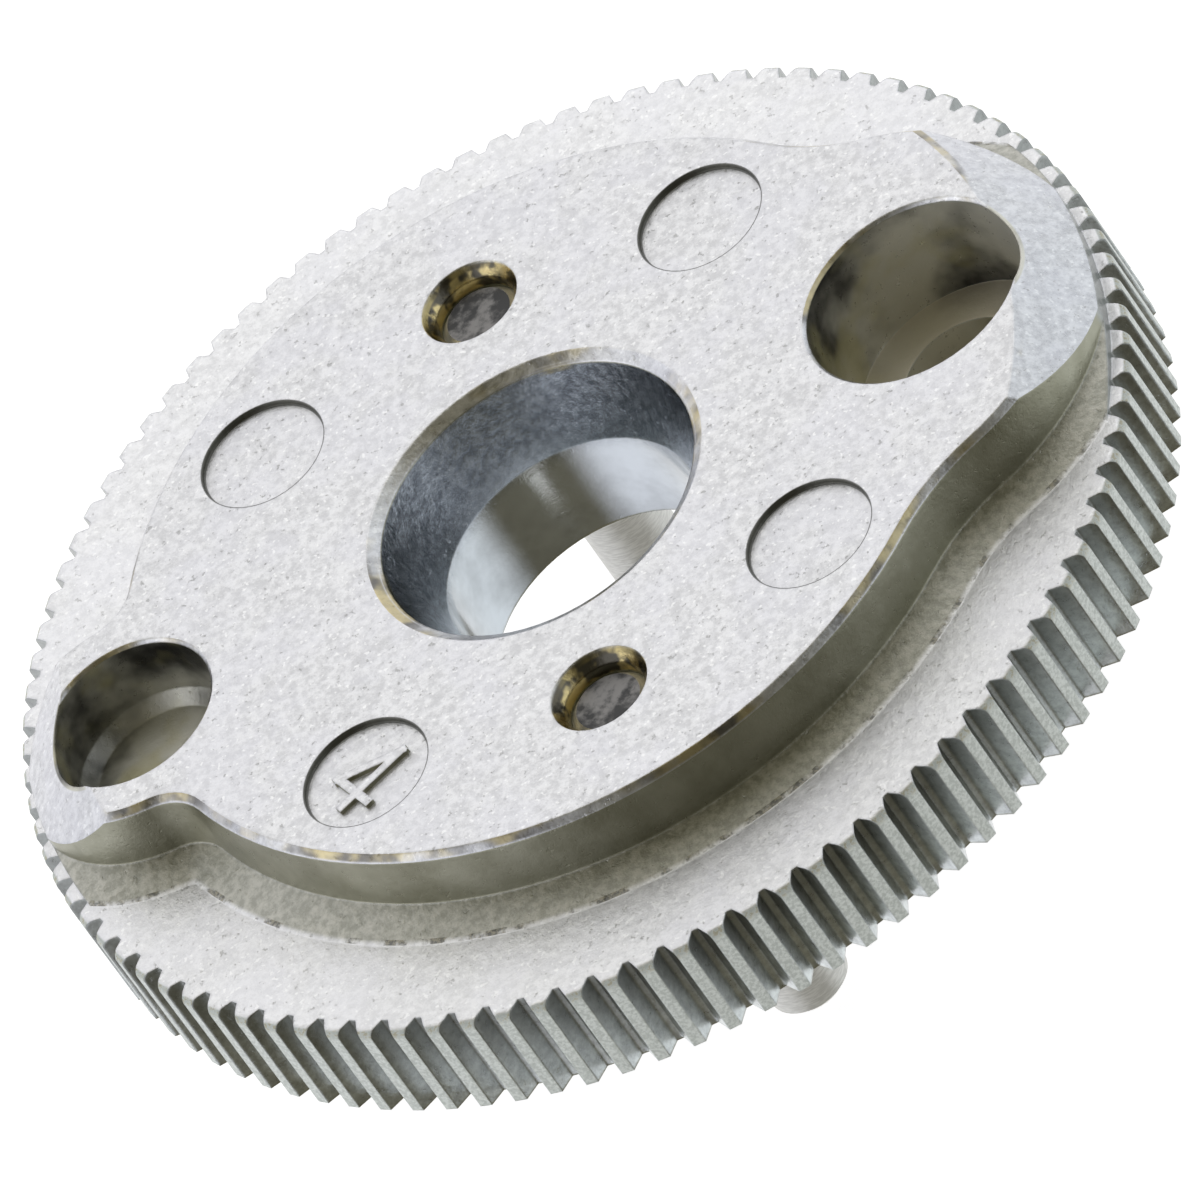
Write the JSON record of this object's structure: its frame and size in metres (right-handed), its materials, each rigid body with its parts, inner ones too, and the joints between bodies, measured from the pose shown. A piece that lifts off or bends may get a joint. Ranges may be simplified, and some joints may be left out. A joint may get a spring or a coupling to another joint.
{
  "type": "centrifugal clutch flywheel",
  "caption": "Knurled die-cast flywheel for a small model engine, with a tapered collet bore, a two-lobed boss, blind balance holes and pressed steel clutch pins.",
  "frame": {"origin": "on the wheel's axis, in the flat clutch-side face (the face the pins stand out of)", "axes": "+Z along the wheel's axis towards the engine side, where the boss is; +X through the middle of the wide lobe with the large blind hole; the two clutch pins lie on +Y and -Y and point towards -Z"},
  "size_m": [0.035, 0.035, 0.0136],
  "materials": {
    "casting": "as die-cast, pale silver grey with a fine frosted grain; smoother and greyer in the bore and on the knurl",
    "pin_steel": "ground dowel pin, satin grey"
  },
  "bodies": {
    "root": {"flywheel_casting": "casting", "clutch_pin_a": "pin_steel", "clutch_pin_b": "pin_steel"}
  },
  "joints": []
}
